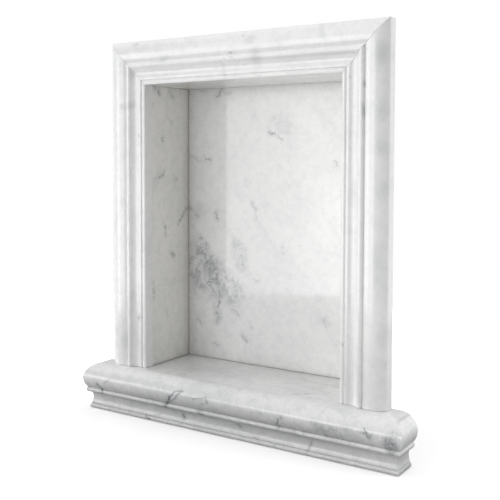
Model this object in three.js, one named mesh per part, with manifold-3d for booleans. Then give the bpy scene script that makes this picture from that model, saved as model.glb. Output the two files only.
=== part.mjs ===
// Marble shower niche. Two jambs and a head of one moulding, mitred at the top corners, stand on a
// moulded sill and frame a recess lined with flat panels. The sill runs on inwards as the niche's floor.
// Millimetres, +Z up, +Y into the wall, +X to the right of someone who faces the niche.
// The origin lies on the wall plane, in the middle of the sill's back face.
import * as THREE from 'three';
import { mergeVertices } from 'three/addons/utils/BufferGeometryUtils.js';
import Module from 'manifold-3d';

const wasm = await Module();
wasm.setup();

// Recess
const openingWidth = 307.4;
const openingHeight = 401.2;
const recessDepth = 85;
const panelThickness = 10;
const shelfThickness = 20;
const jointGap = 0.3;

// Frame moulding, member by member from its outer edge to the opening.
// A rise is the height above the wall plane, and a bulge is how far an arc stands off its chord.
const outerEdgeRise = 12.6;
const outerArrisWidth = 1.8;
const outerArrisRise = 2.8;
const outerArrisBulge = 0.5;
const swellWidth = 28.4;
const swellBulge = 3.7;
const creaseRise = 18.4;
const noseWidth = 7.9;
const noseFootRise = 19;
const noseBulge = 2;
const hollowWidth = 12.3;
const hollowBulge = 1.9;
const listelWidth = 4.1;
const listelRise = 16.4;
const listelBulge = 0.3;
const quirkWidth = 1.8;
const quirkDepth = 0.9;
const beadWidth = 5;
const beadFootRise = 15.7;
const beadBulge = 0.8;
const innerEdgeRise = 15.2;

// Sill, from its top down. A projection is the distance out from the wall plane.
const sillHeight = 64.9;
const sillProjection = 45.3;
const sillSideOverhang = 33.2;
const sillNoseRadius = 21;
const sillNoseHeight = 34.6;
const sillBeadHeight = 6.6;
const sillBeadBulge = 1.5;
const sillLedgeDepth = 3.8;
const sillCoveBulge = 1.9;
const sillGrooveHeight = 1.4;
const sillGrooveDepth = 1.1;
const sillBaseHeight = 5.1;
const sillBaseProjection = 37.5;
const sillBaseBulge = 0.6;

// Arcs are cut into facets that turn by no more than this angle
const facetAngle = THREE.MathUtils.degToRad(11);

// Sizes that follow from the ones above
const mouldingWidth = outerArrisWidth + swellWidth + noseWidth + hollowWidth
  + listelWidth + quirkWidth + beadWidth;
const frameHalfWidth = openingWidth / 2 + mouldingWidth;
const frameTop = openingHeight + mouldingWidth;
const liningHalfWidth = openingWidth / 2 + panelThickness;
const liningDepth = recessDepth + panelThickness;
const sillCoveHeight = sillHeight - sillNoseHeight - sillBeadHeight - sillGrooveHeight - sillBaseHeight;
const mountLevel = -(sillHeight + shelfThickness) / 2;
const mitreGap = jointGap / Math.SQRT2;
const mitreReach = mouldingWidth + jointGap;

const point = (x, y) => new THREE.Vector2(x, y);

// Points of the arc from one point to another, after the first. A positive bulge lies left of the way.
function arc(from, to, bulge) {
  const chord = to.clone().sub(from);
  const halfChord = chord.length() / 2;
  const along = chord.clone().normalize();
  const left = point(-along.y, along.x);
  const halfTurn = 2 * Math.atan(Math.abs(bulge) / halfChord);
  const radius = halfChord / Math.sin(halfTurn);
  const steps = Math.max(2, Math.ceil(2 * halfTurn / facetAngle));
  const points = [];
  for (let step = 1; step <= steps; step += 1) {
    const turn = halfTurn * (2 * step / steps - 1);
    const run = halfChord + radius * Math.sin(turn);
    const offset = radius * (Math.cos(turn) - Math.cos(halfTurn)) * Math.sign(bulge);
    points.push(from.clone().addScaledVector(along, run).addScaledVector(left, offset));
  }
  return points;
}

// Section of the frame moulding: x is the distance in from its outer edge, y the rise above the wall
function mouldingSection() {
  const outerEdge = point(0, outerEdgeRise);
  const swellStart = point(outerArrisWidth, outerEdgeRise + outerArrisRise);
  const crease = point(swellStart.x + swellWidth, creaseRise);
  const noseFoot = point(crease.x, noseFootRise);
  const noseEnd = point(noseFoot.x + noseWidth, noseFootRise);
  const listelStart = point(noseEnd.x + hollowWidth, listelRise);
  const listelEnd = point(listelStart.x + listelWidth, listelRise);
  const beadFoot = point(listelEnd.x + quirkWidth, beadFootRise);
  const innerEdge = point(beadFoot.x + beadWidth, innerEdgeRise);
  return [
    point(0, 0),
    outerEdge,
    ...arc(outerEdge, swellStart, outerArrisBulge),
    ...arc(swellStart, crease, swellBulge),
    noseFoot,
    ...arc(noseFoot, noseEnd, noseBulge),
    ...arc(noseEnd, listelStart, -hollowBulge),
    ...arc(listelStart, listelEnd, listelBulge),
    ...arc(listelEnd, beadFoot, -quirkDepth),
    ...arc(beadFoot, innerEdge, beadBulge),
    point(innerEdge.x, 0),
  ];
}

// Front of the sill's section from its top edge down: x is the projection, y the level
function sillFront() {
  const noseCentre = point(sillProjection - sillNoseRadius, -sillNoseRadius);
  const noseEndTurn = Math.asin((sillNoseRadius - sillNoseHeight) / sillNoseRadius);
  const noseSteps = Math.ceil((Math.PI / 2 - noseEndTurn) / facetAngle);
  const nose = [];
  for (let step = 0; step <= noseSteps; step += 1) {
    const turn = THREE.MathUtils.lerp(Math.PI / 2, noseEndTurn, step / noseSteps);
    nose.push(noseCentre.clone().add(point(Math.cos(turn), Math.sin(turn)).multiplyScalar(sillNoseRadius)));
  }
  const beadTop = nose[nose.length - 1];
  const beadBottom = point(beadTop.x, beadTop.y - sillBeadHeight);
  const coveTop = point(beadBottom.x - sillLedgeDepth, beadBottom.y);
  const coveBottom = point(coveTop.x, coveTop.y - sillCoveHeight);
  const baseTop = point(sillBaseProjection, coveBottom.y - sillGrooveHeight);
  return [
    ...nose,
    ...arc(beadTop, beadBottom, sillBeadBulge),
    coveTop,
    ...arc(coveTop, coveBottom, -sillCoveBulge),
    ...arc(coveBottom, baseTop, -sillGrooveDepth),
    ...arc(baseTop, point(sillBaseProjection, -sillHeight), sillBaseBulge),
  ];
}

// Extrudes an outline from one end of an axis span to the other. The basis turns the outline's own
// x, y and thickness directions into the object's.
function extrude(outline, start, end, basis) {
  const shape = new THREE.Shape(outline);
  const geometry = new THREE.ExtrudeGeometry(shape, { depth: end - start, bevelEnabled: false });
  geometry.translate(0, 0, start);
  return geometry.applyMatrix4(new THREE.Matrix4().makeBasis(...basis));
}

const axisX = new THREE.Vector3(1, 0, 0);
const axisY = new THREE.Vector3(0, 1, 0);
const axisZ = new THREE.Vector3(0, 0, 1);
const uprightBasis = [axisX, axisY, axisZ];
const levelBasis = [axisY, axisZ, axisX];
const depthBasis = [axisX, axisZ, axisY.clone().negate()];

function toSolid(geometry) {
  const bare = geometry.clone();
  bare.deleteAttribute('normal');
  bare.deleteAttribute('uv');
  const merged = mergeVertices(bare);
  return new wasm.Manifold(new wasm.Mesh({
    numProp: 3,
    vertProperties: Float32Array.from(merged.attributes.position.array),
    triVerts: Uint32Array.from(merged.index.array),
  }));
}

function toGeometry(solid) {
  const mesh = solid.getMesh();
  const geometry = new THREE.BufferGeometry();
  geometry.setAttribute('position', new THREE.BufferAttribute(mesh.vertProperties, 3));
  geometry.setIndex(new THREE.BufferAttribute(mesh.triVerts, 1));
  geometry.computeVertexNormals();
  return geometry;
}

// Block seen from the front as an outline of x and level, deep enough to cut any moulding
function frontBlock(outline) {
  const reach = liningDepth + sillProjection;
  return toSolid(extrude(outline, -reach, reach, depthBasis));
}

// A jamb stands on the sill and ends in a mitre at the top. The side is -1 on the left, 1 on the right.
function jambGeometry(side) {
  const section = mouldingSection().map(({ x, y }) => point(side * (frameHalfWidth - x), -y));
  const run = toSolid(extrude(section, jointGap, frameTop, uprightBasis));
  const keep = frontBlock([
    point(side * frameHalfWidth, 0),
    point(side * frameHalfWidth, frameTop - mitreGap),
    point(side * (frameHalfWidth - mitreReach), frameTop - mitreReach - mitreGap),
    point(side * (frameHalfWidth - mitreReach), 0),
  ]);
  return toGeometry(run.intersect(keep));
}

// The head lies level over the jambs, with a mitre at each end
function headGeometry() {
  const section = mouldingSection().map(({ x, y }) => point(-y, frameTop - x));
  const run = toSolid(extrude(section, -frameHalfWidth, frameHalfWidth, levelBasis));
  const outerHalf = frameHalfWidth - mitreGap;
  const innerHalf = outerHalf - mitreReach;
  const keep = frontBlock([
    point(-outerHalf, frameTop),
    point(outerHalf, frameTop),
    point(innerHalf, frameTop - mitreReach),
    point(-innerHalf, frameTop - mitreReach),
  ]);
  return toGeometry(run.intersect(keep));
}

// The sill's moulding runs along its front and returns to the wall at both ends. One run has the
// section along its length, the other has it at its ends, and what they share is mitred at the corners.
function sillGeometry() {
  const front = sillFront();
  const frontRun = [
    point(0, -sillHeight),
    point(0, 0),
    ...front.map(({ x, y }) => point(-x, y)),
  ];
  const halfLength = frameHalfWidth + sillSideOverhang;
  const endInset = halfLength - sillProjection;
  const rightEnd = front.map(({ x, y }) => point(endInset + x, y));
  const leftEnd = front.map(({ x, y }) => point(-endInset - x, y)).reverse();
  const moulded = toSolid(extrude(frontRun, -halfLength, halfLength, levelBasis))
    .intersect(toSolid(extrude([...rightEnd, ...leftEnd], 0, sillProjection, depthBasis)));
  const shelfOutline = [
    point(-liningHalfWidth, 0),
    point(liningHalfWidth, 0),
    point(liningHalfWidth, -shelfThickness),
    point(-liningHalfWidth, -shelfThickness),
  ];
  const shelfFront = sillProjection - sillNoseRadius;
  const shelf = toSolid(extrude(shelfOutline, -liningDepth, shelfFront, depthBasis));
  return toGeometry(moulded.add(shelf));
}

function marble(color, roughness) {
  return new THREE.MeshStandardMaterial({ color, roughness, metalness: 0 });
}

const niche = new THREE.Group();
niche.position.z = -mountLevel;

function addPiece(name, geometry, material) {
  const piece = new THREE.Mesh(geometry, material);
  piece.name = name;
  niche.add(piece);
  return piece;
}

// A flat panel between two opposite corners
function addPanel(name, low, high, material) {
  const size = high.clone().sub(low);
  const panel = addPiece(name, new THREE.BoxGeometry(size.x, size.y, size.z), material);
  panel.position.copy(low).addScaledVector(size, 0.5);
}

addPiece('sill', sillGeometry(), marble(0xd9d8d4, 0.18));
addPiece('left_jamb', jambGeometry(-1), marble(0xe6e5e2, 0.16));
addPiece('right_jamb', jambGeometry(1), marble(0xe6e5e2, 0.16));
addPiece('head', headGeometry(), marble(0xe8e7e4, 0.16));

// The side panels stand on the sill, flush with the jambs' inner faces, and the top panel lies over them
const sideFace = openingWidth / 2;
const panelFront = jointGap;
const panelBack = recessDepth - jointGap;
const sideTop = openingHeight - jointGap;
addPanel(
  'left_side_panel',
  new THREE.Vector3(-liningHalfWidth, panelFront, jointGap),
  new THREE.Vector3(-sideFace, panelBack, sideTop),
  marble(0xd0cdc8, 0.14),
);
addPanel(
  'right_side_panel',
  new THREE.Vector3(sideFace, panelFront, jointGap),
  new THREE.Vector3(liningHalfWidth, panelBack, sideTop),
  marble(0xd0cdc8, 0.14),
);
addPanel(
  'top_panel',
  new THREE.Vector3(-liningHalfWidth, panelFront, openingHeight),
  new THREE.Vector3(liningHalfWidth, panelBack, openingHeight + panelThickness),
  marble(0xd4d2ce, 0.14),
);
addPanel(
  'back_panel',
  new THREE.Vector3(-liningHalfWidth, recessDepth, jointGap),
  new THREE.Vector3(liningHalfWidth, liningDepth, openingHeight + panelThickness),
  marble(0xdedddb, 0.12),
);

const object = new THREE.Group();
object.add(niche);

export default object;
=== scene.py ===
"""Looks of the marble shower niche: fine meshes of its eight stones, their marble, and a plain studio.

Metres, in the frame's own axes: +Z up, +Y into the wall, +X to the right of someone who faces the niche.
"""

import math
from collections import namedtuple

import bmesh
import bpy
from mathutils import Matrix, Vector


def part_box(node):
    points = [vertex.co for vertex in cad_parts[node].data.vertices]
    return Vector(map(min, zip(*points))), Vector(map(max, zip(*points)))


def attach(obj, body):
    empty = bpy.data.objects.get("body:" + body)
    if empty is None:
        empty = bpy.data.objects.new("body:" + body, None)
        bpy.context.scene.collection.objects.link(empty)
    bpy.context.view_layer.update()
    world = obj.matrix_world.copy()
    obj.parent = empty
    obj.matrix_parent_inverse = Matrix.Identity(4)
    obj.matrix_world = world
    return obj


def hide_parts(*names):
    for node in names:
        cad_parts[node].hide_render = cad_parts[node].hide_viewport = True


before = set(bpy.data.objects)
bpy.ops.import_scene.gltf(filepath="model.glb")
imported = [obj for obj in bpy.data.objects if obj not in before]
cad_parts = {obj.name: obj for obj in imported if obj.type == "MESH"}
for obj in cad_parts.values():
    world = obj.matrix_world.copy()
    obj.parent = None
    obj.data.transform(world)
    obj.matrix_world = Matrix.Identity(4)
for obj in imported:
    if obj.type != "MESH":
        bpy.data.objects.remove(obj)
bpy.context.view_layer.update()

MM = 0.001

# Places taken from the frame
SILL_LOW, SILL_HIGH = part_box("sill")
PANEL_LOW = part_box("right_side_panel")[0]
BACK_LOW, BACK_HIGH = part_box("back_panel")
SILL_TOP = SILL_HIGH.z
FRAME_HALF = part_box("right_jamb")[1].x
FRAME_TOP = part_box("head")[1].z
JAMB_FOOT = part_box("right_jamb")[0].z
PANEL_FRONT = PANEL_LOW.y
OPENING_HALF = PANEL_LOW.x
OPENING_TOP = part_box("top_panel")[0].z
RECESS_BACK = BACK_LOW.y
JOINT_GAP = JAMB_FOOT - SILL_TOP
MITRE_GAP = 0.4 * JOINT_GAP
PANEL_FOOT = SILL_TOP + JOINT_GAP

# Frame moulding, member by member from its outer edge to the opening.
# A rise is the height above the wall plane, and a bulge is how far an arc stands off its chord.
OUTER_EDGE_RISE = 12.6 * MM
OUTER_ARRIS_WIDTH = 1.8 * MM
OUTER_ARRIS_RISE = 2.8 * MM
OUTER_ARRIS_BULGE = 0.5 * MM
SWELL_WIDTH = 28.4 * MM
SWELL_BULGE = 3.7 * MM
CREASE_RISE = 18.4 * MM
NOSE_WIDTH = 7.9 * MM
NOSE_FOOT_RISE = 19 * MM
NOSE_BULGE = 2 * MM
HOLLOW_WIDTH = 12.3 * MM
HOLLOW_BULGE = 1.9 * MM
LISTEL_WIDTH = 4.1 * MM
LISTEL_RISE = 16.4 * MM
LISTEL_BULGE = 0.3 * MM
QUIRK_WIDTH = 1.8 * MM
QUIRK_DEPTH = 0.9 * MM
BEAD_FOOT_RISE = 15.7 * MM
BEAD_BULGE = 0.8 * MM
INNER_EDGE_RISE = 15.2 * MM

# Sill, from its top down. A projection is the distance out from the wall plane.
SILL_PROJECTION = -SILL_LOW.y
SILL_NOSE_RADIUS = 21 * MM
SILL_NOSE_HEIGHT = 34.6 * MM
SILL_BEAD_HEIGHT = 6.6 * MM
SILL_BEAD_BULGE = 1.5 * MM
SILL_LEDGE_DEPTH = 3.8 * MM
SILL_COVE_BULGE = 1.9 * MM
SILL_GROOVE_HEIGHT = 1.4 * MM
SILL_GROOVE_DEPTH = 1.1 * MM
SILL_BASE_HEIGHT = 5.1 * MM
SILL_BASE_PROJECTION = 37.5 * MM
SILL_BASE_BULGE = 0.6 * MM
SHELF_THICKNESS = 20 * MM
UNDERSIDE_MARGIN = 4 * MM

# Finish of the edges
ARRIS = 0.35 * MM
END_ARRIS = 0.15 * MM
MITRE_ARRIS = 0.7 * MM
PANEL_ARRIS = 0.4 * MM
CORNER_STEPS = 3
TRIM_SHARE = 0.4
FACET = math.radians(3)
CORNER_TURN = math.radians(14)
SHARP_TURN = math.radians(38)

# Where the sill's rounded nose ends and its bead begins
SILL_NOSE_END_TURN = math.asin((SILL_NOSE_RADIUS - SILL_NOSE_HEIGHT) / SILL_NOSE_RADIUS)
SILL_BEAD_PROJECTION = SILL_PROJECTION - SILL_NOSE_RADIUS * (1 - math.cos(SILL_NOSE_END_TURN))


def arc(start, end, bulge):
    """Points of the arc from start to end, after the first. A positive bulge lies left of the way."""
    chord = end - start
    half = chord.length / 2
    along = chord.normalized()
    left = Vector((-along.y, along.x))
    half_turn = 2 * math.atan(abs(bulge) / half)
    radius = half / math.sin(half_turn)
    steps = max(2, math.ceil(2 * half_turn / FACET))
    points = []
    for step in range(1, steps + 1):
        turn = half_turn * (2 * step / steps - 1)
        run = half + radius * math.sin(turn)
        offset = radius * (math.cos(turn) - math.cos(half_turn)) * math.copysign(1, bulge)
        points.append(start + along * run + left * offset)
    return points


def turn_at(before, corner, after):
    """How far an outline turns at a corner."""
    first = corner - before
    second = after - corner
    return abs(first.angle_signed(second, 0))


def trimmed(stretch, radius):
    """A stretch of outline between two corners, cut back at both ends."""
    lengths = [(b - a).length for a, b in zip(stretch, stretch[1:])]
    total = sum(lengths)
    cut = min(radius, TRIM_SHARE * total)
    kept = []
    travelled = 0
    for a, b, length in zip(stretch, stretch[1:], lengths):
        marks = [m for m in (cut, total - cut) if travelled <= m < travelled + length]
        kept += [a.lerp(b, (m - travelled) / length) for m in marks]
        travelled += length
        if cut < travelled < total - cut:
            kept.append(b)
    return kept


def eased(points, radius, closed=True):
    """The outline with each real corner rounded over by a small curve."""
    count = len(points)
    inner = range(count) if closed else range(1, count - 1)
    turns = [turn_at(points[i - 1], points[i], points[(i + 1) % count]) for i in range(count)]
    corners = [i for i in inner if turns[i] > CORNER_TURN]
    if closed:
        spans = [(a, b if b > a else b + count) for a, b in zip(corners, corners[1:] + corners[:1])]
    else:
        marks = [0] + corners + [count - 1]
        spans = list(zip(marks, marks[1:]))
    stretches = [trimmed([points[i % count] for i in range(a, b + 1)], radius) for a, b in spans]
    outline = []
    for index, stretch in enumerate(stretches):
        if not closed and index == 0:
            outline.append(points[0])
            stretch = stretch[1:]
        if not closed and index == len(stretches) - 1:
            stretch = stretch[:-1]
        outline += stretch
        last = index == len(stretches) - 1
        if last and not closed:
            outline.append(points[-1])
            break
        corner = points[spans[index][1] % count]
        begin = stretch[-1]
        finish = stretches[(index + 1) % len(stretches)][0]
        for step in range(1, CORNER_STEPS):
            t = step / CORNER_STEPS
            outline.append(begin.lerp(corner, t).lerp(corner.lerp(finish, t), t))
    return outline


def inset(points, depth):
    """A closed outline drawn inwards by a depth. The outlines here all run clockwise."""
    count = len(points)
    moved = []
    for i, here in enumerate(points):
        along = points[(i + 1) % count] - points[i - 1]
        moved.append(here + Vector((along.y, -along.x)).normalized() * depth)
    return moved


def moulding_section():
    """Section of the frame moulding: x runs in from its outer edge, y is the rise off the wall."""
    outer_edge = Vector((0, OUTER_EDGE_RISE))
    swell_start = Vector((OUTER_ARRIS_WIDTH, OUTER_EDGE_RISE + OUTER_ARRIS_RISE))
    crease = Vector((swell_start.x + SWELL_WIDTH, CREASE_RISE))
    nose_foot = Vector((crease.x, NOSE_FOOT_RISE))
    nose_end = Vector((nose_foot.x + NOSE_WIDTH, NOSE_FOOT_RISE))
    listel_start = Vector((nose_end.x + HOLLOW_WIDTH, LISTEL_RISE))
    listel_end = Vector((listel_start.x + LISTEL_WIDTH, LISTEL_RISE))
    bead_foot = Vector((listel_end.x + QUIRK_WIDTH, BEAD_FOOT_RISE))
    inner_edge = Vector((FRAME_HALF - OPENING_HALF, INNER_EDGE_RISE))
    outline = [Vector((0, 0)), outer_edge]
    outline += arc(outer_edge, swell_start, OUTER_ARRIS_BULGE)
    outline += arc(swell_start, crease, SWELL_BULGE)
    outline += [nose_foot]
    outline += arc(nose_foot, nose_end, NOSE_BULGE)
    outline += arc(nose_end, listel_start, -HOLLOW_BULGE)
    outline += arc(listel_start, listel_end, LISTEL_BULGE)
    outline += arc(listel_end, bead_foot, -QUIRK_DEPTH)
    outline += arc(bead_foot, inner_edge, BEAD_BULGE)
    outline += [Vector((inner_edge.x, 0))]
    return eased(outline, ARRIS)


def sill_front():
    """Front of the sill's section from its top down: x is the projection, y the level under the top."""
    height = SILL_TOP - SILL_LOW.z
    nose_centre = Vector((SILL_PROJECTION - SILL_NOSE_RADIUS, -SILL_NOSE_RADIUS))
    sweep = math.pi / 2 - SILL_NOSE_END_TURN
    steps = math.ceil(sweep / FACET)
    outline = []
    for step in range(steps + 1):
        turn = math.pi / 2 - sweep * step / steps
        outline.append(nose_centre + Vector((math.cos(turn), math.sin(turn))) * SILL_NOSE_RADIUS)
    bead_top = outline[-1]
    bead_bottom = bead_top - Vector((0, SILL_BEAD_HEIGHT))
    cove_top = bead_bottom - Vector((SILL_LEDGE_DEPTH, 0))
    base_top = Vector((SILL_BASE_PROJECTION, SILL_BASE_HEIGHT - height))
    cove_bottom = Vector((cove_top.x, base_top.y + SILL_GROOVE_HEIGHT))
    base_bottom = Vector((SILL_BASE_PROJECTION, -height))
    outline += arc(bead_top, bead_bottom, SILL_BEAD_BULGE)
    outline += [cove_top]
    outline += arc(cove_top, cove_bottom, -SILL_COVE_BULGE)
    outline += arc(cove_bottom, base_top, -SILL_GROOVE_DEPTH)
    outline += arc(base_top, base_bottom, SILL_BASE_BULGE)
    outline += [base_bottom - Vector((UNDERSIDE_MARGIN, 0))]
    return eased(outline, ARRIS, closed=False)


def piece(name, vertices, faces, node, material):
    """A closed smooth-shaded mesh that stands for a CAD node."""
    mesh = bpy.data.meshes.new(name)
    work = bmesh.new()
    made = [work.verts.new(v) for v in vertices]
    for face in faces:
        work.faces.new([made[i] for i in face])
    bmesh.ops.recalc_face_normals(work, faces=work.faces[:])
    for face in work.faces:
        face.smooth = True
    for edge in work.edges:
        edge.smooth = edge.calc_face_angle(0) < SHARP_TURN
    work.to_mesh(mesh)
    work.free()
    mesh.materials.append(material)
    thing = bpy.data.objects.new(name, mesh)
    bpy.context.scene.collection.objects.link(thing)
    normals = thing.modifiers.new("flat faces stay flat", "WEIGHTED_NORMAL")
    normals.keep_sharp = True
    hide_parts(node)
    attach(thing, "root")
    return thing


def ring_faces(rings, count):
    """Faces of a run of rings that all have as many points, with a cap at each end."""
    faces = []
    for ring in range(rings - 1):
        for i in range(count):
            j = (i + 1) % count
            low, high = ring * count, (ring + 1) * count
            faces.append((low + i, low + j, high + j, high + i))
    faces.append(tuple(reversed(range(count))))
    faces.append(tuple(range((rings - 1) * count, rings * count)))
    return faces


def make_jamb(side, name, material):
    """A jamb: square on the sill, mitred at the top, both ends with a small arris."""
    section = moulding_section()
    small = inset(section, END_ARRIS)
    rings = []
    for outline, level in ((small, 0), (section, END_ARRIS)):
        rings.append([Vector((side * (FRAME_HALF - p.x), -p.y, JAMB_FOOT + level)) for p in outline])
    for outline, drop in ((section, END_ARRIS), (small, 0)):
        top = FRAME_TOP - MITRE_GAP - drop
        rings.append([Vector((side * (FRAME_HALF - p.x), -p.y, top - p.x)) for p in outline])
    vertices = [v for ring in rings for v in ring]
    faces = ring_faces(len(rings), len(section))
    return piece(name + "_stone", vertices, faces, name, material)


def make_head(material):
    """The head: the same moulding, level, with a mitre at each end."""
    section = moulding_section()
    small = inset(section, END_ARRIS)
    rings = []
    stations = [(-1, small, 0), (-1, section, END_ARRIS), (1, section, END_ARRIS), (1, small, 0)]
    for side, outline, short in stations:
        end = FRAME_HALF - MITRE_GAP - short
        rings.append([Vector((side * (end - p.x), -p.y, FRAME_TOP - p.x)) for p in outline])
    vertices = [v for ring in rings for v in ring]
    faces = ring_faces(len(rings), len(section))
    return piece("head_stone", vertices, faces, "head", material)


def sill_plan(projection):
    """Plan of one line of the sill's moulding: out of the wall, along the front and back to the wall."""
    end = SILL_HIGH.x - SILL_PROJECTION + projection
    corner = Vector((end, -projection))
    side = corner + Vector((0, MITRE_ARRIS))
    front = corner - Vector((MITRE_ARRIS, 0))
    middle = side.lerp(corner, 0.5).lerp(corner.lerp(front, 0.5), 0.5)
    right = [Vector((end, 0)), side, middle, front]
    left = [Vector((-p.x, p.y)) for p in right]
    return left + right[::-1]


def make_sill(material):
    """The sill with its returned ends, and the shelf that runs on inwards as the niche's floor."""
    section = sill_front()
    lines = [sill_plan(p.x) for p in section]
    stations = len(lines[0])
    count = len(section)
    vertices = []
    for station in range(stations):
        for line, p in zip(lines, section):
            vertices.append(Vector((line[station].x, line[station].y, SILL_TOP + p.y)))
    faces = []
    for station in range(stations - 1):
        for i in range(count - 1):
            low, high = station * count + i, (station + 1) * count + i
            faces.append((low, low + 1, high + 1, high))
    shelf_half = BACK_HIGH.x
    shelf_low = SILL_TOP - SHELF_THICKNESS
    first = len(vertices)
    for depth in (0, BACK_HIGH.y):
        for level in (SILL_TOP, shelf_low):
            for side in (-1, 1):
                vertices.append(Vector((side * shelf_half, depth, level)))
    top_left, top_right, low_left, low_right = first, first + 1, first + 2, first + 3
    far_left, far_right, under_left, under_right = first + 4, first + 5, first + 6, first + 7
    top_line = [station * count for station in range(stations)]
    bottom_line = [station * count + count - 1 for station in range(stations)]
    right_end = [(stations - 1) * count + i for i in range(count)]
    left_end = list(range(count))
    faces.append(tuple(top_line + [top_right, far_right, far_left, top_left]))
    faces.append(tuple(bottom_line))
    faces.append(tuple(right_end + left_end[::-1] + [top_left, low_left, low_right, top_right]))
    faces.append((top_left, far_left, under_left, low_left))
    faces.append((top_right, low_right, under_right, far_right))
    faces.append((low_left, under_left, under_right, low_right))
    faces.append((far_left, far_right, under_right, under_left))
    return piece("sill_stone", vertices, faces, "sill", material)


def make_panel(name, material):
    """A flat lining slab with eased edges, as large as its CAD node."""
    low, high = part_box(name)
    middle = (low + high) / 2
    half = (high - low) / 2
    work = bmesh.new()
    placed = Matrix.Translation(middle) @ Matrix.Diagonal(half).to_4x4()
    bmesh.ops.create_cube(work, size=2, matrix=placed)
    bmesh.ops.bevel(work, geom=work.edges[:], offset=PANEL_ARRIS, segments=CORNER_STEPS,
                    profile=0.5, affect="EDGES")
    vertices = [v.co.copy() for v in work.verts]
    faces = [tuple(v.index for v in f.verts) for f in work.faces]
    work.free()
    return piece(name + "_slab", vertices, faces, name, material)


# Sockets of the colour form of the Mix node, which share their names with its other forms
MIX_FIRST = 6
MIX_SECOND = 7
MIX_RESULT = 2

# A kind of noise, and the two levels of it between which it sets in
Layer = namedtuple("Layer", "scale detail rough distort low high")


class Graph:
    """Adds nodes to a material. Each call gives back the socket that holds its result."""

    def __init__(self, tree):
        self.tree = tree

    def add(self, kind, *values, **settings):
        """A node with its settings, and its inputs in order; None leaves an input as it is."""
        made = self.tree.nodes.new(kind)
        for name, value in settings.items():
            setattr(made, name, value)
        for socket, value in zip(made.inputs, values):
            self.feed(socket, value)
        return made

    def feed(self, socket, value):
        if isinstance(value, bpy.types.NodeSocket):
            self.tree.links.new(value, socket)
        elif value is not None:
            socket.default_value = value

    def math(self, operation, *values):
        return self.add("ShaderNodeMath", *values, operation=operation).outputs[0]

    def vector(self, operation, *values):
        return self.add("ShaderNodeVectorMath", *values, operation=operation).outputs[0]

    def dot(self, first, second):
        return self.add("ShaderNodeVectorMath", first, second, operation="DOT_PRODUCT").outputs[1]

    def length(self, value):
        return self.add("ShaderNodeVectorMath", value, operation="LENGTH").outputs[1]

    def scaled(self, value, factor):
        made = self.add("ShaderNodeVectorMath", value, operation="SCALE")
        self.feed(made.inputs["Scale"], factor)
        return made.outputs[0]

    def noise(self, place, scale, detail=3, rough=0.5, distort=0):
        """Noise at a place: the value, and the colour for use as a vector."""
        made = self.add("ShaderNodeTexNoise")
        for name, value in (("Vector", place), ("Scale", scale), ("Detail", detail),
                            ("Roughness", rough), ("Distortion", distort)):
            self.feed(made.inputs[name], value)
        return made.outputs[0], made.outputs[1]

    def ramp(self, value, low, high, low_out=0, high_out=1):
        """Smooth step from one value to another."""
        made = self.add("ShaderNodeMapRange", value, low, high, low_out, high_out,
                        interpolation_type="SMOOTHSTEP")
        return made.outputs[0]

    def layer(self, place, kind):
        """How far a layer of noise has set in at a place: 0 up to its low level, 1 from its high one."""
        value, _ = self.noise(place, kind.scale, kind.detail, kind.rough, kind.distort)
        return self.ramp(value, kind.low, kind.high)

    def ridges(self, place, kind):
        """1 on the lines where the noise crosses its middle, falling to 0 beside them."""
        value, _ = self.noise(place, kind.scale, kind.detail, kind.rough, kind.distort)
        beside = self.math("ABSOLUTE", self.math("SUBTRACT", value, 0.5))
        return self.ramp(beside, kind.low, kind.high, 1, 0)

    def mixed(self, factor, first, second):
        made = self.add("ShaderNodeMix", data_type="RGBA")
        self.feed(made.inputs["Factor"], factor)
        self.feed(made.inputs[MIX_FIRST], first)
        self.feed(made.inputs[MIX_SECOND], second)
        return made.outputs[MIX_RESULT]

    def warped(self, place, scale, reach, detail=2, axes=(1, 1, 1)):
        """A place moved about by noise, by up to half the reach, along the axes that are 1."""
        _, shove = self.noise(place, scale, detail)
        centred = self.vector("SUBTRACT", shove, (0.5, 0.5, 0.5))
        return self.vector("ADD", place, self.vector("MULTIPLY", centred, Vector(axes) * reach))

    def nearness(self, place, start, end, width):
        """1 on the straight line between two points, falling to 0 at the width from it and on below 0."""
        run = Vector(end) - Vector(start)
        offset = self.vector("SUBTRACT", place, start)
        share = self.dot(offset, run / run.length_squared)
        share = self.math("MINIMUM", self.math("MAXIMUM", share, 0), 1)
        gap = self.length(self.vector("SUBTRACT", offset, self.scaled(tuple(run), share)))
        return self.math("MULTIPLY_ADD", gap, -1 / width, 1)

    def strongest(self, masks):
        result = masks[0]
        for mask in masks[1:]:
            result = self.math("MAXIMUM", result, mask)
        return result


# The marble's tones, as linear colours
MOULDING_WHITE = (0.95, 0.95, 0.945, 1)
LEFT_JAMB_WHITE = (0.89, 0.89, 0.885, 1)
RIGHT_JAMB_WHITE = (0.86, 0.86, 0.855, 1)
SILL_WHITE = (0.90, 0.90, 0.895, 1)
BACK_WHITE = (0.93, 0.93, 0.92, 1)
SIDE_WHITE = (0.90, 0.885, 0.85, 1)
# The top panel's white: the linings' warm white, made lighter as painted light on the recess's top, which
# faces down
TOP_WHITE_WITH_PAINTED_LIGHT = (0.95, 0.945, 0.92, 1)
CLOUD = (0.52, 0.54, 0.55, 1)
VEIN = (0.13, 0.15, 0.18, 1)
# Brown tone of the grout lines, also used for painted shade in the jambs' creases and beside inside
# corners
GROUT_AND_SHADE = (0.32, 0.26, 0.20, 1)
# Dark grey tone of the sill's grout lines, also used for painted shade under its nose and bead and in its
# groove
GRIME_AND_SHADE = (0.12, 0.125, 0.13, 1)

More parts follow.
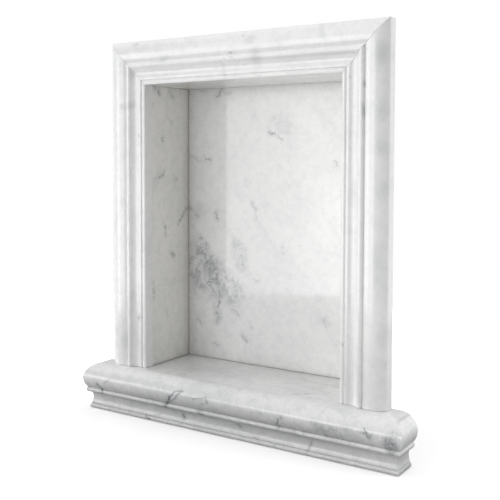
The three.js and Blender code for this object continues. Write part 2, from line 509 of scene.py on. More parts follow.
# The stone's grey, layer by layer, and the share of each
BROAD = Layer(6, 5, 0.55, 0, 0.35, 0.8)
WISP = Layer(26, 8, 0.68, 0.6, 0.45, 0.85)
MOTTLE = Layer(85, 5, 0.72, 0, 0.42, 0.66)
SUGAR = Layer(360, 3, 0.8, 0, 0.36, 0.66)
SOFT_VEIN = Layer(12, 8, 0.6, 0.3, 0, 0.03)
SOFT_VEIN_REGION = Layer(8, 2, 0.5, 0, 0.5, 0.7)
BROAD_SHARE = 0.26
WISP_SHARE = 0.40
MOTTLE_SHARE = 0.22
SUGAR_SHARE = 0.14
SOFT_VEIN_SHARE = 0.16
ROLL_SCALE = 4
ROLL_REACH = 100 * MM
WISP_STRETCH = (1, 1, 0.3)

# Small flecks
FLECK = Layer(95, 5, 0.68, 0, 0.62, 0.76)
FLECK_REGION = Layer(15, 2, 0.5, 0, 0.40, 0.60)
FLECK_SHARE = 0.5
FLECK_DRIFT_SCALE = 30
FLECK_DRIFT = 10 * MM
FLECK_STRETCH = (1, 1, 0.5)

# The dark veins: how they wander, how the grain eats them, the soft shade beside the thread, and how
# little the whole ones crumble
BEND_SCALE = 60
BEND_REACH = 6 * MM
SHAKE_SCALE = 260
SHAKE_REACH = 7.5 * MM
CRUMB_SCALE = 430
CRUMB_GAIN = 3.6
CRUMB_LOSS = 1.85
GAP = Layer(150, 3, 0.6, 0, 0.40, 0.54)
GAP_DEPTH = 0.7
THREAD_EDGE = (0.1, 0.95)
SHADE_EDGE = (-1.1, 1)
SHADE_SHARE = 0.38
WHOLE_CRUMBLE = 0.25
WHOLE_AXES = (1, 0, 1)

# The crackled places: a net of cells, finer cracks, the knots that hold them, and the haze
NET_SCALE = 230
NET_EDGE = 0.16
CRACK = Layer(170, 6, 0.7, 0.8, 0, 0.06)
KNOT = Layer(75, 5, 0.65, 0.5, 0.40, 0.58)
THREAD_SHARE = 0.60
KNOT_SHARE = 0.14
HAZE_SHARE = 0.17

# The drift of the crackled places and of the soft grey clouds
PATCH_BEND_SCALE = 45
PATCH_BEND = 16 * MM
PATCH_SHAKE_SCALE = 280
PATCH_SHAKE = 4 * MM
PATCH_EDGE = (0.35, 1.15)
SMUDGE_DRIFT_SCALE = 30
SMUDGE_DRIFT = 14 * MM
SMUDGE_EDGE = (0, 1.2)

# Dark lines: grout in the joints, painted shade in the jambs' creases and the sill's hollows; each a line
# broken up by crumbs, with a fainter band of painted shade several times as wide
DARK_LINE_CRUMB_SCALE = 200
DARK_LINE_LEAST = 0.6
DARK_LINE_GAIN = 0.6
SHADE_BAND_WIDTHS = 5
SHADE_BAND_SHARE = 0.35

# The surface: roughness of a sawn side, how much duller the polish gets in places, and its ripple
SAWN = 0.55
SAWN_FACING = (0.6, 0.9)
POLISH_RANGE = 0.1
SMEAR = Layer(24, 4, 0.6, 0, 0.3, 0.75)
RIPPLE_SCALE = 40
RIPPLE_STRENGTH = 0.06
RIPPLE_HEIGHT = 0.5 * MM


def clouding(graph, grain, strength):
    """How grey the stone is: clouds, drawn-out wisps, mottling, sugary grain and a few soft veins."""
    rolled = graph.warped(grain, ROLL_SCALE, ROLL_REACH)
    along = graph.vector("MULTIPLY", rolled, WISP_STRETCH)
    region = graph.layer(grain, SOFT_VEIN_REGION)
    soft_vein = graph.math("MULTIPLY", graph.ridges(along, SOFT_VEIN), region)
    total = graph.math("MULTIPLY", graph.layer(rolled, BROAD), BROAD_SHARE)
    total = graph.math("MULTIPLY_ADD", graph.layer(along, WISP), WISP_SHARE, total)
    total = graph.math("MULTIPLY_ADD", graph.layer(grain, MOTTLE), MOTTLE_SHARE, total)
    total = graph.math("MULTIPLY_ADD", graph.layer(grain, SUGAR), SUGAR_SHARE, total)
    total = graph.math("MULTIPLY_ADD", soft_vein, SOFT_VEIN_SHARE, total)
    return graph.math("MULTIPLY", total, strength)


def flecks(graph, grain):
    """Small dark flecks scattered in the stone, drawn out along its grain."""
    drifting = graph.warped(grain, FLECK_DRIFT_SCALE, FLECK_DRIFT)
    along = graph.vector("MULTIPLY", drifting, FLECK_STRETCH)
    sparse = graph.math("MULTIPLY", graph.layer(along, FLECK), graph.layer(grain, FLECK_REGION))
    return graph.math("MULTIPLY", sparse, FLECK_SHARE)


def dark_strokes(graph, place, strokes, crumble=1.0, axes=(1, 1, 1)):
    """The stone's own dark veins: each a thread in a soft grey shade.

    Crumble is how much the grain eats them. They wander along the axes that are 1.
    """
    bent = graph.warped(place, BEND_SCALE, BEND_REACH * (1 + crumble), axes=axes)
    shaken = graph.warped(bent, SHAKE_SCALE, SHAKE_REACH * crumble, detail=3, axes=axes)
    crumbs, _ = graph.noise(place, CRUMB_SCALE, detail=4, rough=0.8)
    eaten = graph.math("MULTIPLY_ADD", crumbs, CRUMB_GAIN * crumble, -CRUMB_LOSS * crumble)
    gaps, _ = graph.noise(place, GAP.scale, GAP.detail, GAP.rough, GAP.distort)
    kept = graph.ramp(gaps, GAP.low, GAP.high, 1 - GAP_DEPTH * crumble, 1)
    masks = []
    for start, end, width, strength in strokes:
        near = graph.nearness(shaken, start, end, width)
        thread = graph.ramp(graph.math("ADD", near, eaten), *THREAD_EDGE, 0, strength)
        shade = graph.ramp(near, *SHADE_EDGE, 0, SHADE_SHARE * strength)
        masks.append(graph.math("MAXIMUM", thread, shade))
    return graph.math("MULTIPLY", graph.strongest(masks), kept)


def spot_frame(graph, place, spot):
    """A place as a soft spot sees it: 0 at its centre, 1 along its half sizes, turned about Y."""
    centre, half, turn, _ = spot
    mapping = graph.add("ShaderNodeMapping", place, centre, (0, math.radians(turn), 0), half,
                        vector_type="TEXTURE")
    return graph.length(mapping.outputs[0])


def crackled_patches(graph, place, patches):
    """Places where dark threads run close together like a net, over a grey haze."""
    bent = graph.warped(place, PATCH_BEND_SCALE, PATCH_BEND)
    shaken = graph.warped(bent, PATCH_SHAKE_SCALE, PATCH_SHAKE)
    net = graph.add("ShaderNodeTexVoronoi", feature="DISTANCE_TO_EDGE")
    graph.feed(net.inputs["Vector"], shaken)
    graph.feed(net.inputs["Scale"], NET_SCALE)
    cell = graph.ramp(net.outputs[0], 0, NET_EDGE, 1, 0)
    knot = graph.layer(place, KNOT)
    threads = graph.math("MULTIPLY", graph.math("MAXIMUM", cell, graph.ridges(place, CRACK)), knot)
    haze = graph.math("MULTIPLY_ADD", knot, KNOT_SHARE, HAZE_SHARE)
    cover = graph.math("MULTIPLY_ADD", threads, THREAD_SHARE, haze)
    masks = []
    for patch in patches:
        inside = graph.ramp(spot_frame(graph, shaken, patch), *PATCH_EDGE, 1, 0)
        masks.append(graph.math("MULTIPLY", inside, patch[3]))
    return graph.math("MULTIPLY", graph.strongest(masks), cover)


def smudges(graph, place, spots):
    """Soft grey clouds at places of their own."""
    drifting = graph.warped(place, SMUDGE_DRIFT_SCALE, SMUDGE_DRIFT, detail=4)
    masks = []
    for spot in spots:
        masks.append(graph.ramp(spot_frame(graph, drifting, spot), *SMUDGE_EDGE, spot[3], 0))
    return graph.strongest(masks)


def grout_and_painted_shade(graph, place, seams_and_shade):
    """Grout along the stone's joints and painted shade along its creases and hollows: a thin line with a
    faint wider band of painted shade.
    """
    crumbs, _ = graph.noise(place, DARK_LINE_CRUMB_SCALE, rough=0.7)
    uneven = graph.math("MULTIPLY_ADD", crumbs, DARK_LINE_GAIN, DARK_LINE_LEAST)
    masks = []
    for start, end, width, strength in seams_and_shade:
        line = graph.ramp(graph.nearness(place, start, end, width), 0, 1, 0, strength)
        around = graph.nearness(place, start, end, SHADE_BAND_WIDTHS * width)
        shade_band = graph.ramp(around, 0, 1, 0, SHADE_BAND_SHARE * strength)
        masks.append(graph.math("MULTIPLY", graph.math("MAXIMUM", line, shade_band), uneven))
    return graph.strongest(masks)


def marble(name, white, seed, lean, clouds, strokes=(), veins=(), patches=(), spots=(), seams_and_shade=(),
           dirt_and_shade=GROUT_AND_SHADE, polish=0.08, hidden=(0, 1, 0)):
    """Polished white marble with grey clouds and broken veins.

    The seed picks the stone, lean turns its grain and clouds is how strongly it is clouded. Strokes and
    veins are its own dark marks, crumbly and whole, as (start, end, width, strength). Patches are its
    crackled places and spots its single clouds, both as (centre, half sizes, turn about Y, strength).
    Seams and shade are its grout lines and the painted shade along its creases, inside corners and
    hollows, written like the strokes, in the tone of the dirt and shade. Polish is its lowest roughness.
    The side that faces the hidden direction is only sawn.
    """
    material = bpy.data.materials.new(name)
    material.use_nodes = True
    graph = Graph(material.node_tree)
    shader = material.node_tree.nodes["Principled BSDF"]
    place = graph.add("ShaderNodeTexCoord").outputs["Object"]
    grain = graph.add("ShaderNodeMapping", place, (seed, -2 * seed, 3 * seed), lean, (1, 1, 1)).outputs[0]

    colour = graph.mixed(clouding(graph, grain, clouds), white, CLOUD)
    dark = [flecks(graph, grain)]
    if strokes:
        dark.append(dark_strokes(graph, place, strokes))
    if veins:
        dark.append(dark_strokes(graph, place, veins, WHOLE_CRUMBLE, WHOLE_AXES))
    if patches:
        dark.append(crackled_patches(graph, place, patches))
    if spots:
        dark.append(smudges(graph, place, spots))
    colour = graph.mixed(graph.strongest(dark), colour, VEIN)
    # Grout lines, with painted shade along creases, inside corners and the sill's hollows
    if seams_and_shade:
        colour = graph.mixed(grout_and_painted_shade(graph, place, seams_and_shade), colour, dirt_and_shade)
    graph.feed(shader.inputs["Base Color"], colour)

    smear, _ = graph.noise(grain, SMEAR.scale, SMEAR.detail, SMEAR.rough, SMEAR.distort)
    polished = graph.ramp(smear, SMEAR.low, SMEAR.high, polish, polish + POLISH_RANGE)
    facing = graph.dot(graph.add("ShaderNodeNewGeometry").outputs["True Normal"], hidden)
    sawn = graph.math("MULTIPLY", graph.ramp(facing, *SAWN_FACING), SAWN)
    graph.feed(shader.inputs["Roughness"], graph.math("MAXIMUM", polished, sawn))
    shader.inputs["IOR"].default_value = 1.55
    shader.inputs["Coat Weight"].default_value = 0.25
    shader.inputs["Coat Roughness"].default_value = 0.04
    ripple, _ = graph.noise(grain, RIPPLE_SCALE)
    bump = graph.add("ShaderNodeBump")
    graph.feed(bump.inputs["Height"], ripple)
    bump.inputs["Strength"].default_value = RIPPLE_STRENGTH
    bump.inputs["Distance"].default_value = RIPPLE_HEIGHT
    graph.feed(shader.inputs["Normal"], bump.outputs[0])
    return material


# The marble's own marks, placed as they lie on each stone. Strokes and veins: start, end, width and
# strength. Patches and spots: centre, half sizes, turn and strength. They run on into the stone.
THROUGH = 50 * MM
SILL_THROUGH = 30 * MM

# Where each face lies that carries marks
BACK = RECESS_BACK
SIDE = -OPENING_HALF
FLOOR = SILL_TOP
NOSE_FRONT = -SILL_PROJECTION + 1.2 * MM
COVE = -35 * MM
CREST = -20 * MM

back_strokes = [
    ((-0.127, BACK, 0.345), (-0.119, BACK, 0.337), 0.0026, 0.7),
    ((-0.119, BACK, 0.337), (-0.112, BACK, 0.337), 0.0030, 0.8),
    ((-0.150, BACK, 0.343), (-0.138, BACK, 0.338), 0.0040, 0.3),
    ((-0.102, BACK, 0.431), (-0.092, BACK, 0.443), 0.0040, 0.5),
    ((-0.095, BACK, 0.441), (-0.080, BACK, 0.436), 0.0040, 0.3),
    ((-0.012, BACK, 0.379), (-0.002, BACK, 0.374), 0.0032, 0.7),
    ((0.002, BACK, 0.373), (0.013, BACK, 0.366), 0.0028, 0.6),
    ((-0.012, BACK, 0.379), (-0.006, BACK, 0.398), 0.0044, 0.22),
    ((-0.152, BACK, 0.268), (-0.148, BACK, 0.262), 0.0030, 0.6),
    ((-0.148, BACK, 0.262), (-0.136, BACK, 0.254), 0.0034, 0.45),
    ((-0.103, BACK, 0.261), (-0.100, BACK, 0.252), 0.0040, 0.6),
    ((-0.041, BACK, 0.280), (-0.035, BACK, 0.270), 0.0042, 0.5),
    ((-0.035, BACK, 0.270), (-0.033, BACK, 0.258), 0.0030, 0.4),
    ((-0.063, BACK, 0.216), (-0.058, BACK, 0.205), 0.0050, 0.25),
    ((-0.058, BACK, 0.205), (-0.057, BACK, 0.186), 0.0040, 0.3),
    ((-0.133, BACK, 0.222), (-0.120, BACK, 0.212), 0.0050, 0.45),
    ((-0.120, BACK, 0.212), (-0.110, BACK, 0.188), 0.0042, 0.55),
    ((-0.110, BACK, 0.188), (-0.100, BACK, 0.160), 0.0048, 0.75),
    ((-0.100, BACK, 0.160), (-0.096, BACK, 0.136), 0.0040, 0.6),
    ((-0.096, BACK, 0.136), (-0.100, BACK, 0.118), 0.0040, 0.7),
    ((-0.149, BACK, 0.166), (-0.140, BACK, 0.160), 0.0036, 0.7),
    ((-0.140, BACK, 0.160), (-0.126, BACK, 0.146), 0.0040, 0.4),
    ((-0.084, BACK, 0.166), (-0.078, BACK, 0.158), 0.0036, 0.5),
    ((-0.138, BACK, 0.099), (-0.130, BACK, 0.092), 0.0036, 0.5),
    ((0.012, BACK, 0.218), (0.013, BACK, 0.206), 0.0036, 0.3),
    ((-0.036, BACK, 0.166), (-0.030, BACK, 0.166), 0.0030, 0.4),
    ((0.079, BACK, 0.121), (0.083, BACK, 0.116), 0.0040, 0.5),
    ((0.093, BACK, 0.336), (0.097, BACK, 0.331), 0.0034, 0.5),
    ((-0.075, BACK, 0.119), (-0.062, BACK, 0.112), 0.0036, 0.45),
    ((-0.056, BACK, 0.084), (-0.048, BACK, 0.076), 0.0034, 0.45),
    ((-0.106, BACK, 0.064), (-0.096, BACK, 0.064), 0.0040, 0.4),
]
back_patches = [
    ((-0.114, BACK, 0.172), (0.030, THROUGH, 0.062), -30, 0.72),
    ((-0.136, BACK, 0.170), (0.022, THROUGH, 0.044), -15, 0.62),
    ((-0.127, BACK, 0.196), (0.016, THROUGH, 0.022), -30, 0.90),
    ((-0.104, BACK, 0.160), (0.009, THROUGH, 0.034), -30, 0.95),
    ((-0.077, BACK, 0.150), (0.026, THROUGH, 0.036), -40, 0.55),
    ((-0.060, BACK, 0.200), (0.016, THROUGH, 0.034), -15, 0.45),
    ((-0.100, BACK, 0.114), (0.010, THROUGH, 0.024), 0, 0.60),
    ((0.012, BACK, 0.388), (0.020, THROUGH, 0.034), -30, 0.25),
]
back_spots = [
    ((-0.118, BACK, 0.170), (0.034, THROUGH, 0.060), -30, 0.16),
    ((-0.135, BACK, 0.258), (0.020, THROUGH, 0.020), 0, 0.12),
]
left_strokes = [
    ((SIDE, 0.006, 0.311), (SIDE, 0.016, 0.315), 0.0024, 0.5),
    ((SIDE, 0.016, 0.315), (SIDE, 0.026, 0.321), 0.0030, 0.75),
    ((SIDE, 0.028, 0.241), (SIDE, 0.029, 0.230), 0.0028, 0.7),
    ((SIDE, 0.044, 0.202), (SIDE, 0.047, 0.198), 0.0044, 0.7),
    ((SIDE, 0.055, 0.312), (SIDE, 0.057, 0.308), 0.0036, 0.6),
    ((SIDE, 0.062, 0.245), (SIDE, 0.082, 0.266), 0.0040, 0.7),
    ((SIDE, 0.006, 0.442), (SIDE, 0.016, 0.434), 0.0052, 0.7),
    ((SIDE, 0.041, 0.438), (SIDE, 0.047, 0.430), 0.0044, 0.5),
    ((SIDE, 0.022, 0.371), (SIDE, 0.024, 0.366), 0.0034, 0.6),
    ((SIDE, 0.002, 0.160), (SIDE, 0.003, 0.143), 0.0048, 0.55),
    ((SIDE, 0.040, 0.396), (SIDE, 0.044, 0.391), 0.0034, 0.35),
    ((SIDE, 0.030, 0.120), (SIDE, 0.036, 0.112), 0.0040, 0.30),
]


def on_nose(x, level):
    """A point on the sill's rounded front, or on the bead where the level is under the nose."""
    drop = SILL_TOP - level
    if drop > SILL_NOSE_HEIGHT:
        return (x, -SILL_BEAD_PROJECTION, level)
    out = math.sqrt(SILL_NOSE_RADIUS ** 2 - (SILL_NOSE_RADIUS - drop) ** 2)
    return (x, SILL_NOSE_RADIUS - SILL_PROJECTION - out, level)


sill_veins = [
    (on_nose(-0.105, -0.007), on_nose(-0.099, 0.001), 0.0030, 0.85),
    (on_nose(-0.099, 0.001), on_nose(-0.094, 0.009), 0.0034, 0.95),
    (on_nose(-0.094, 0.009), on_nose(-0.087, 0.019), 0.0032, 0.95),
    (on_nose(-0.087, 0.019), on_nose(-0.079, 0.026), 0.0020, 0.80),
    (on_nose(-0.079, 0.026), on_nose(-0.066, 0.029), 0.0018, 0.70),
    (on_nose(-0.093, 0.009), on_nose(-0.077, 0.020), 0.0019, 0.70),
    (on_nose(-0.077, 0.020), on_nose(-0.068, 0.027), 0.0016, 0.60),
    (on_nose(-0.221, 0.015), on_nose(-0.213, 0.009), 0.0026, 0.90),
    (on_nose(-0.213, 0.009), on_nose(-0.214, 0.001), 0.0028, 0.95),
    (on_nose(-0.214, 0.001), on_nose(-0.226, -0.003), 0.0026, 0.90),
    (on_nose(-0.206, 0.018), on_nose(-0.195, 0.028), 0.0018, 0.40),
    (on_nose(-0.047, 0.023), on_nose(-0.028, 0.028), 0.0018, 0.60),
    (on_nose(-0.028, 0.028), on_nose(-0.024, 0.022), 0.0020, 0.60),
    (on_nose(-0.024, 0.022), on_nose(-0.037, 0.018), 0.0016, 0.35),
    (on_nose(-0.041, 0.005), on_nose(-0.035, 0.001), 0.0032, 0.85),
    (on_nose(0.084, 0.017), on_nose(0.080, 0.010), 0.0024, 0.65),
    (on_nose(0.201, 0.026), on_nose(0.206, 0.017), 0.0026, 0.75),
    (on_nose(0.206, 0.017), on_nose(0.211, 0.022), 0.0018, 0.50),
    (on_nose(0.232, 0.024), on_nose(0.238, 0.014), 0.0018, 0.50),
    ((0.125, COVE, -0.006), (0.121, COVE, -0.018), 0.0024, 0.65),
    ((-0.072, COVE, -0.006), (-0.070, COVE, -0.009), 0.0030, 0.80),
    ((-0.108, COVE, -0.009), (-0.126, COVE, -0.018), 0.0016, 0.30),
    ((-0.135, -SILL_BASE_PROJECTION, -0.019), (-0.129, -SILL_BASE_PROJECTION, -0.021), 0.0026, 0.80),
    ((0.018, COVE, -0.003), (0.021, COVE, -0.006), 0.0026, 0.65),
]
sill_strokes = [
    (on_nose(0.196, 0.023), on_nose(0.208, 0.021), 0.0043, 0.6),
    (on_nose(0.084, 0.008), on_nose(0.089, 0.016), 0.0060, 0.6),
    (on_nose(0.142, 0.020), on_nose(0.150, 0.010), 0.0055, 0.4),
    ((0.086, -0.012, FLOOR), (0.094, -0.006, FLOOR), 0.0043, 0.45),
    ((0.093, -0.010, FLOOR), (0.099, -0.001, FLOOR), 0.0043, 0.45),
    ((-0.092, -0.016, FLOOR), (-0.088, -0.014, FLOOR), 0.0043, 0.5),
    ((-0.028, 0.045, FLOOR), (0.060, 0.052, FLOOR), 0.0043, 0.18),
    ((0.060, 0.052, FLOOR), (0.150, 0.044, FLOOR), 0.0043, 0.22),
    ((0.096, 0.022, FLOOR), (0.112, 0.062, FLOOR), 0.0041, 0.22),
]
sill_patches = [
    ((0.234, NOSE_FRONT, 0.017), (0.012, SILL_THROUGH, 0.018), 0, 0.8),
    ((0.160, NOSE_FRONT, 0.016), (0.044, SILL_THROUGH, 0.014), 0, 0.45),
    ((0.105, NOSE_FRONT, 0.010), (0.036, SILL_THROUGH, 0.010), 0, 0.35),
]
left_jamb_spots = [
    ((-0.176, CREST, 0.416), (0.010, THROUGH, 0.009), 0, 0.20),
    ((-0.190, CREST, 0.414), (0.006, THROUGH, 0.008), 0, 0.22),
    ((-0.173, CREST, 0.461), (0.009, THROUGH, 0.010), 0, 0.16),
    ((-0.192, CREST, 0.280), (0.006, THROUGH, 0.012), 0, 0.14),
    ((-0.206, CREST, 0.250), (0.008, THROUGH, 0.020), 0, 0.10),
    ((-0.188, CREST, 0.080), (0.010, THROUGH, 0.016), 0, 0.16),
    ((-0.204, CREST, 0.092), (0.008, THROUGH, 0.010), 0, 0.14),
    ((-0.176, CREST, 0.140), (0.008, THROUGH, 0.030), 0, 0.10),
]
right_jamb_spots = [
    ((0.206, CREST, 0.462), (0.012, THROUGH, 0.020), 0, 0.24),
    ((0.208, CREST, 0.398), (0.010, THROUGH, 0.018), 20, 0.12),
    ((0.207, CREST, 0.352), (0.012, THROUGH, 0.012), -60, 0.12),
    ((0.209, CREST, 0.305), (0.012, THROUGH, 0.014), 50, 0.14),
    ((0.204, CREST, 0.220), (0.010, THROUGH, 0.030), 0, 0.10),
    ((0.211, CREST, 0.130), (0.010, THROUGH, 0.020), 0, 0.12),
    ((0.185, CREST, 0.428), (0.003, THROUGH, 0.006), 0, 0.35),
    ((0.184, CREST, 0.396), (0.003, THROUGH, 0.014), 0, 0.40),
    ((0.171, CREST, 0.300), (0.006, THROUGH, 0.020), 0, 0.14),
]
head_spots = [
    ((-0.165, CREST, 0.499), (0.008, THROUGH, 0.005), 0, 0.20),
    ((-0.116, CREST, 0.476), (0.014, THROUGH, 0.006), 0, 0.16),
    ((0.033, CREST, 0.470), (0.010, THROUGH, 0.016), 0, 0.20),
    ((0.024, CREST, 0.492), (0.012, THROUGH, 0.008), 0, 0.14),
    ((0.128, CREST, 0.497), (0.020, THROUGH, 0.006), 60, 0.12),
    ((-0.019, CREST, 0.452), (0.020, THROUGH, 0.005), 80, 0.14),
]

# Turns of the stone's grain
LEAN_LEFT = (0.3, 0.5, 0.2)
LEAN_RIGHT = (-0.4, 0.7, 1.1)
LEAN_BACK = (0, 0.55, 0)
LEAN_LEVEL = (0, 1.35, 0.15)

# Half widths of the dark lines: grout in the joints, grout with painted shade in the inside corners, and
# painted shade under the sill's nose and bead, in its groove and in a jamb's crease; and the strength of
# the one in the crease
SEAM_LINE = 1.1 * MM
CORNER_LINE = 4 * MM
NOSE_LINE = 0.7 * MM
COVE_LINE = 1.4 * MM
GROOVE_LINE = 0.5 * MM
CREASE_LINE = 0.5 * MM
CREASE_STRENGTH = 0.16


def corner_joint_and_shade(side, width, strength):
    """Upright joint between a side panel and the back, with painted shade of the inside corner beside it.
    """
    x = side * OPENING_HALF
    return ((x, BACK, PANEL_FOOT), (x, BACK, OPENING_TOP), width, strength)


def floor_seam(side, strength):
    """Joint between a side panel and the floor."""
    x = side * OPENING_HALF
    return ((x, PANEL_FRONT, PANEL_FOOT), (x, BACK, PANEL_FOOT), SEAM_LINE, strength)


def back_seam(level, strength):
    """Level joint along the back panel."""
    return ((-OPENING_HALF, BACK, level), (OPENING_HALF, BACK, level), SEAM_LINE, strength)


def crease_shade(side):
    """Painted shade along a jamb's crease."""
    x = side * (FRAME_HALF - OUTER_ARRIS_WIDTH - SWELL_WIDTH)
    return ((x, -CREASE_RISE, JAMB_FOOT), (x, -CREASE_RISE, FRAME_TOP), CREASE_LINE, CREASE_STRENGTH)


def sill_shade_line(projection, drop, width, strength):
    """Painted shade in a line along the sill's front and its two ends."""
    end = SILL_HIGH.x - SILL_PROJECTION + projection
    level = SILL_TOP - drop
    front = ((-end, -projection, level), (end, -projection, level), width, strength)
    left = ((-end, -projection, level), (-end, 0, level), width, strength)
    right = ((end, -projection, level), (end, 0, level), width, strength)
    return [front, left, right]


bead_foot = SILL_NOSE_HEIGHT + SILL_BEAD_HEIGHT
ledge_projection = SILL_BEAD_PROJECTION - SILL_LEDGE_DEPTH
groove_drop = SILL_TOP - SILL_LOW.z - SILL_BASE_HEIGHT - 0.5 * SILL_GROOVE_HEIGHT
groove_projection = SILL_BASE_PROJECTION - SILL_GROOVE_DEPTH
# The sill's grout lines with the panels, and painted shade under its nose, at the top of its cove under
# the bead and in its groove
sill_joints_and_shade = [floor_seam(-1, 0.7), floor_seam(1, 0.5), back_seam(PANEL_FOOT, 0.35)]
sill_joints_and_shade += sill_shade_line(SILL_BEAD_PROJECTION, SILL_NOSE_HEIGHT, NOSE_LINE, 0.7)
sill_joints_and_shade += sill_shade_line(ledge_projection, bead_foot, COVE_LINE, 0.7)
sill_joints_and_shade += sill_shade_line(groove_projection, groove_drop, GROOVE_LINE, 0.9)
# Grout lines of the panels; the upright corner ones carry a wide band of painted shade of the inside
# corner
left_panel_joints_and_shade = [corner_joint_and_shade(-1, CORNER_LINE, 0.6), floor_seam(-1, 0.8)]
right_panel_joints_and_shade = [corner_joint_and_shade(1, CORNER_LINE, 0.6), floor_seam(1, 0.8)]
back_panel_joints_and_shade = [corner_joint_and_shade(-1, CORNER_LINE, 0.6), corner_joint_and_shade(1, CORNER_LINE, 0.6),
                    back_seam(PANEL_FOOT, 0.4), back_seam(OPENING_TOP, 0.4)]

make_sill(marble("sill_marble", SILL_WHITE, seed=3.1, lean=LEAN_LEVEL, clouds=1.05, dirt_and_shade=GRIME_AND_SHADE,
                 strokes=sill_strokes, veins=sill_veins, patches=sill_patches, seams_and_shade=sill_joints_and_shade))
make_jamb(-1, "left_jamb", marble("left_jamb_marble", LEFT_JAMB_WHITE, seed=7.7, lean=LEAN_LEFT,
                                  clouds=0.6, spots=left_jamb_spots, seams_and_shade=[crease_shade(-1)]))
make_jamb(1, "right_jamb", marble("right_jamb_marble", RIGHT_JAMB_WHITE, seed=12.9, lean=LEAN_RIGHT,
                                  clouds=0.6, spots=right_jamb_spots, seams_and_shade=[crease_shade(1)]))
make_head(marble("head_marble", MOULDING_WHITE, seed=21.3, lean=LEAN_LEVEL, clouds=0.55,
                 spots=head_spots))
make_panel("left_side_panel", marble("left_panel_marble", SIDE_WHITE, seed=5.3, lean=LEAN_BACK,
                                     clouds=0.9, strokes=left_strokes, seams_and_shade=left_panel_joints_and_shade,
                                     hidden=(-1, 0, 0)))
make_panel("right_side_panel", marble("right_panel_marble", SIDE_WHITE, seed=9.4, lean=LEAN_BACK,
                                      clouds=0.9, seams_and_shade=right_panel_joints_and_shade, hidden=(1, 0, 0)))
make_panel("top_panel", marble("top_panel_marble", TOP_WHITE_WITH_PAINTED_LIGHT, seed=15.2, lean=LEAN_RIGHT, clouds=0.6,
                               seams_and_shade=[back_seam(OPENING_TOP, 0.4)], hidden=(0, 0, 1)))
make_panel("back_panel", marble("back_panel_marble", BACK_WHITE, seed=18.6, lean=LEAN_BACK,
                                clouds=0.74, strokes=back_strokes, patches=back_patches,
                                spots=back_spots, seams_and_shade=back_panel_joints_and_shade, polish=0.05))


# The floor: its size and tone, how much light it sends back at the object by the distance from the
# origin, and the glow with which it fades into the white behind it
FLOOR_RADIUS = 0.95
PAPER_WHITE = (0.92, 0.92, 0.92, 1)
BOUNCE_NEAR = (0.10, 0.10, 0.10, 1)
BOUNCE_FAR = (0.92, 0.92, 0.92, 1)
FLOOR_GLOW_NEAR = 0.3
FLOOR_GLOW_FAR = 1.2
FADE_START = 0.25
FADE_END = 0.85
BOUNCE_START = 0.15
BOUNCE_END = 0.55
FLOOR_CLEARANCE = 0.5 * MM
FLOOR_SIDES = 96

# The light panels: how soft their edges are in degrees, the level they share, and each panel as
# (azimuths, heights, strength), also in degrees
PANEL_BLUR = 2
PANEL_LEVEL = 0.95
PANELS = [
    ((-190, -120), (-12, 40), 0.6),
    ((-120, -84), (-12, 40), 0.9),
    ((-84, -62), (-12, 10), 0.8),
    ((-84, -62), (10, 40), 6.8),
    ((-62, -41), (-12, 10), 3.7),
    ((-41, -30), (-12, 10), 2.7),
    ((-30, -15), (-12, 10), 3.7),
    ((-41, -15), (10, 40), 1.1),
    ((-15, 10), (-12, 10), 1.1),
    ((-15, 10), (10, 40), 1.6),
    ((10, 45), (-12, 10), 0.9),
    ((45, 100), (-12, 10), 1.2),
    ((100, 170), (-12, 40), 1.6),
    ((-190, 60), (40, 95), 0.68),
    ((60, 170), (40, 95), 1.5),
]


def make_floor():
    """Plain pale floor of the studio, just under the sill."""
    mesh = bpy.data.meshes.new("studio_floor")
    work = bmesh.new()
    level = Matrix.Translation((0, 0, SILL_LOW.z - FLOOR_CLEARANCE))
    bmesh.ops.create_circle(work, cap_ends=True, segments=FLOOR_SIDES, radius=FLOOR_RADIUS, matrix=level)
    work.to_mesh(mesh)
    work.free()
    material = bpy.data.materials.new("studio_paper")
    material.use_nodes = True
    graph = Graph(material.node_tree)
    shader = material.node_tree.nodes["Principled BSDF"]
    seen = graph.add("ShaderNodeLightPath").outputs["Is Camera Ray"]
    distance = graph.length(graph.add("ShaderNodeTexCoord").outputs["Object"])
    spread = graph.ramp(distance, FADE_START, FADE_END)
    bounce = graph.mixed(graph.ramp(distance, BOUNCE_START, BOUNCE_END), BOUNCE_NEAR, BOUNCE_FAR)
    graph.feed(shader.inputs["Base Color"], graph.mixed(seen, bounce, PAPER_WHITE))
    shader.inputs["Roughness"].default_value = 0.9
    shader.inputs["Specular IOR Level"].default_value = 0.1
    glow = graph.math("MULTIPLY_ADD", spread, FLOOR_GLOW_FAR - FLOOR_GLOW_NEAR, FLOOR_GLOW_NEAR)
    shader.inputs["Emission Color"].default_value = (1, 1, 1, 1)
    graph.feed(shader.inputs["Emission Strength"], graph.math("MULTIPLY", glow, seen))
    mesh.materials.append(material)
    floor = bpy.data.objects.new("studio_floor", mesh)
    bpy.context.scene.collection.objects.link(floor)


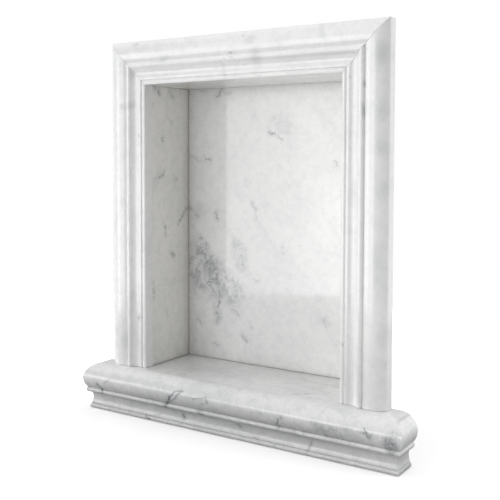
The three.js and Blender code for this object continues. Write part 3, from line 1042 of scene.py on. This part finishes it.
def window(graph, value, low, high, blur):
    """1 between two values, falling softly to 0 outside them."""
    rise = graph.ramp(value, low - blur, low + blur)
    fall = graph.ramp(value, high - blur, high + blur, 1, 0)
    return graph.math("MULTIPLY", rise, fall)


def make_studio(panels):
    """White to the camera. The object is lit by broad soft panels all round it, at the world's distance.

    Azimuth 0 is straight in front of the niche and -90 to the left of someone who faces it.
    """
    world = bpy.data.worlds.new("studio")
    world.use_nodes = True
    bpy.context.scene.world = world
    graph = Graph(world.node_tree)
    background = world.node_tree.nodes["Background"]
    background.inputs["Color"].default_value = (1, 1, 1, 1)
    split = graph.add("ShaderNodeSeparateXYZ", graph.add("ShaderNodeTexCoord").outputs["Generated"])
    right, inward, up = split.outputs
    outward = graph.math("MULTIPLY", inward, -1)
    azimuth = graph.math("DEGREES", graph.math("ARCTAN2", right, outward))
    height = graph.math("DEGREES", graph.math("ARCSINE", up))
    total = 0
    for (first, last), (low, high), strength in panels:
        across = window(graph, azimuth, first, last, PANEL_BLUR)
        level = window(graph, height, low, high, PANEL_BLUR)
        inside = graph.math("MULTIPLY", across, level)
        total = graph.math("MULTIPLY_ADD", inside, PANEL_LEVEL * strength, total)
    seen = graph.add("ShaderNodeLightPath").outputs["Is Camera Ray"]
    graph.feed(background.inputs["Strength"], graph.math("MAXIMUM", total, seen))


def make_camera():
    """Camera at the photograph's viewing angle."""
    place = Vector((0.6003, -0.9037, 0.3403))
    yaw = math.radians(33.046)
    pitch = math.radians(-2.865)
    roll = math.radians(0.134)
    camera = bpy.data.cameras.new("camera")
    camera.sensor_width = 36
    camera.lens = 59.09
    camera.shift_y = -0.1
    camera.clip_start = 0.01
    holder = bpy.data.objects.new("camera", camera)
    ahead = Vector((-math.sin(yaw) * math.cos(pitch), math.cos(yaw) * math.cos(pitch), math.sin(pitch)))
    turned = ahead.to_track_quat("-Z", "Y").to_matrix().to_4x4() @ Matrix.Rotation(roll, 4, "Z")
    holder.matrix_world = Matrix.Translation(place) @ turned
    bpy.context.scene.collection.objects.link(holder)
    bpy.context.scene.camera = holder


make_floor()
make_studio(PANELS)
make_camera()
bpy.context.scene.view_settings.view_transform = "Standard"
bpy.context.scene.view_settings.look = "None"
